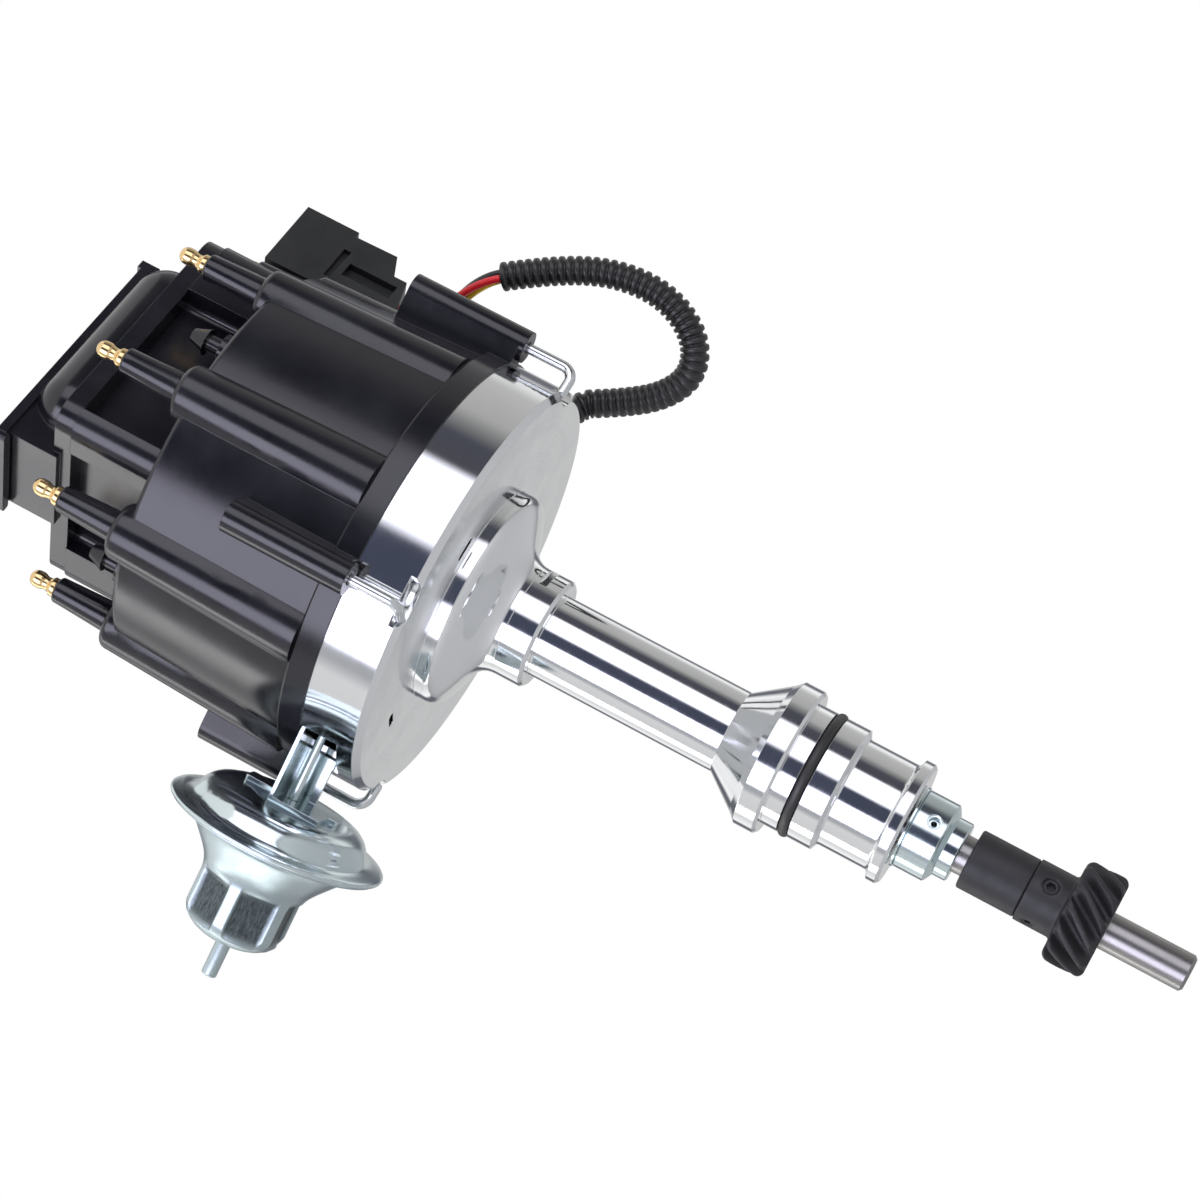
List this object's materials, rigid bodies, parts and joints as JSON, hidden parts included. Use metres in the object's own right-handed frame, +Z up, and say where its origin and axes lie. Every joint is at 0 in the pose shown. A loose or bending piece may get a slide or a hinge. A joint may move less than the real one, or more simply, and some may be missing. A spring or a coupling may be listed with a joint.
{
  "type": "ignition distributor",
  "caption": "Engine ignition distributor with the coil in its ribbed black cap, turned aluminium housing, vacuum advance can, wire loom and helical drive gear",
  "frame": {"origin": "on the shaft's axis in the plane where the housing's flange rests on the engine block", "axes": "+Z up the shaft to the cap, +X and +Y through two of the four latches, the vacuum canister towards -X"},
  "size_m": [0.2386, 0.1564, 0.3779],
  "materials": {
    "polished_aluminium": "turned and polished",
    "black_plastic": "satin moulded",
    "connector_plastic": "matte moulded",
    "terminal_brass": "turned",
    "bushing_bronze": "sintered",
    "zinc_plate": "zinc plated",
    "bare_steel": "ground",
    "black_steel": "black oxide",
    "core_steel": "laminated",
    "bright_wire": "bright plated",
    "seal_rubber": "smooth",
    "loom_plastic": "corrugated",
    "red_insulation": "smooth",
    "yellow_insulation": "smooth",
    "black_insulation": "smooth",
    "carbon": "pressed carbon",
    "winding_resin": "potted",
    "rotor_plastic": "moulded"
  },
  "bodies": {
    "housing_body": {"housing": "polished_aluminium", "lower_bushing": "bushing_bronze", "upper_bushing": "bushing_bronze", "housing_o_ring": "seal_rubber", "ignition_module": "connector_plastic", "housing_screws": "zinc_plate", "capacitor": "zinc_plate", "distributor_cap": "black_plastic", "plug_terminals": "terminal_brass", "ignition_coil": "winding_resin", "coil_core": "core_steel", "coil_cover": "black_plastic", "cover_screws": "zinc_plate", "coil_connector": "connector_plastic", "connector_blades": "terminal_brass", "vacuum_bracket": "zinc_plate", "vacuum_front_shell": "zinc_plate", "vacuum_rear_shell": "zinc_plate", "vacuum_diaphragm": "seal_rubber", "harness_grommet": "seal_rubber", "harness_loom": "loom_plastic", "red_wire": "red_insulation", "black_wire": "black_insulation", "yellow_wire": "yellow_insulation", "button_spring": "zinc_plate", "latch_spring_1": "zinc_plate", "latch_spring_2": "zinc_plate", "latch_spring_3": "zinc_plate", "latch_spring_4": "zinc_plate"},
    "shaft_body": {"main_shaft": "bare_steel", "drive_gear": "black_steel", "gear_roll_pin": "black_steel", "gear_set_screw": "black_steel", "gear_sleeve": "black_steel", "thrust_collar": "zinc_plate", "collar_pin": "zinc_plate", "thrust_washer": "zinc_plate", "centre_plate": "zinc_plate"},
    "advance_body": {"timer_core": "core_steel", "weight_base": "zinc_plate", "rotor": "rotor_plastic", "rotor_contact": "terminal_brass", "rotor_screws": "zinc_plate"},
    "weight_body_1": {"advance_weight_1": "core_steel"},
    "weight_body_2": {"advance_weight_2": "core_steel"},
    "pickup_body": {"pickup_plate": "zinc_plate", "pickup_coil": "winding_resin", "pole_piece": "core_steel"},
    "rod_body": {"vacuum_rod": "zinc_plate", "diaphragm_plate": "zinc_plate"},
    "button_body": {"carbon_button": "carbon"},
    "latch_slider_1": {"latch_washer_1": "zinc_plate"},
    "latch_1": {"latch_hook_1": "bright_wire"},
    "latch_slider_2": {"latch_washer_2": "zinc_plate"},
    "latch_2": {"latch_hook_2": "bright_wire"},
    "latch_slider_3": {"latch_washer_3": "zinc_plate"},
    "latch_3": {"latch_hook_3": "bright_wire"},
    "latch_slider_4": {"latch_washer_4": "zinc_plate"},
    "latch_4": {"latch_hook_4": "bright_wire"}
  },
  "joints": [
    {"name": "shaft_spin", "type": "hinge", "parent": "housing_body", "child": "shaft_body", "pos_m": [0, 0, 0], "axis": [0, 0, 1], "continuous": true},
    {"name": "mechanical_advance", "type": "hinge", "parent": "shaft_body", "child": "advance_body", "pos_m": [0, 0, 0.13], "axis": [0, 0, 1], "range_deg": [0, 11], "stiffness_Nm_per_rad": 0.05},
    {"name": "weight_swing_1", "type": "hinge", "parent": "advance_body", "child": "weight_body_1", "pos_m": [0.022, 0, 0.1344], "axis": [0, 0, -1], "range_deg": [0, 24.5]},
    {"name": "weight_swing_2", "type": "hinge", "parent": "advance_body", "child": "weight_body_2", "pos_m": [-0.022, 0, 0.1344], "axis": [0, 0, -1], "range_deg": [0, 24.5]},
    {"name": "vacuum_advance", "type": "hinge", "parent": "housing_body", "child": "pickup_body", "pos_m": [0, 0, 0.114], "axis": [0, 0, -1], "range_deg": [0, 8], "stiffness_Nm_per_rad": 0.3},
    {"name": "vacuum_rod_slide", "type": "slide", "parent": "housing_body", "child": "rod_body", "axis": [-1, 0, 0], "range_m": [0, 0.005]},
    {"name": "carbon_button_slide", "type": "slide", "parent": "housing_body", "child": "button_body", "axis": [0, 0, 1], "range_m": [0, 0.0015], "stiffness_N_per_m": 150, "deforming": ["button_spring"]},
    {"name": "latch_press_1", "type": "slide", "parent": "housing_body", "child": "latch_slider_1", "axis": [0, 0, -1], "range_m": [0, 0.003], "stiffness_N_per_m": 300, "deforming": ["latch_spring_1"]},
    {"name": "latch_turn_1", "type": "hinge", "parent": "latch_slider_1", "child": "latch_1", "pos_m": [0, -0.07325, 0.159], "axis": [0, 0, 1], "range_deg": [0, 180]},
    {"name": "latch_press_2", "type": "slide", "parent": "housing_body", "child": "latch_slider_2", "axis": [0, 0, -1], "range_m": [0, 0.003], "stiffness_N_per_m": 300, "deforming": ["latch_spring_2"]},
    {"name": "latch_turn_2", "type": "hinge", "parent": "latch_slider_2", "child": "latch_2", "pos_m": [0.07325, 0, 0.159], "axis": [0, 0, 1], "range_deg": [0, 180]},
    {"name": "latch_press_3", "type": "slide", "parent": "housing_body", "child": "latch_slider_3", "axis": [0, 0, -1], "range_m": [0, 0.003], "stiffness_N_per_m": 300, "deforming": ["latch_spring_3"]},
    {"name": "latch_turn_3", "type": "hinge", "parent": "latch_slider_3", "child": "latch_3", "pos_m": [-0.07325, 0, 0.159], "axis": [0, 0, 1], "range_deg": [0, 180]},
    {"name": "latch_press_4", "type": "slide", "parent": "housing_body", "child": "latch_slider_4", "axis": [0, 0, -1], "range_m": [0, 0.003], "stiffness_N_per_m": 300, "deforming": ["latch_spring_4"]},
    {"name": "latch_turn_4", "type": "hinge", "parent": "latch_slider_4", "child": "latch_4", "pos_m": [0, 0.07325, 0.159], "axis": [0, 0, 1], "range_deg": [0, 180]}
  ],
  "couplings": [
    {"joint": "weight_swing_1", "follows": "mechanical_advance", "ratio": 2.2},
    {"joint": "weight_swing_2", "follows": "mechanical_advance", "ratio": 2.2},
    {"joint": "vacuum_rod_slide", "follows": "vacuum_advance", "m_per_rad": 0.0351}
  ]
}
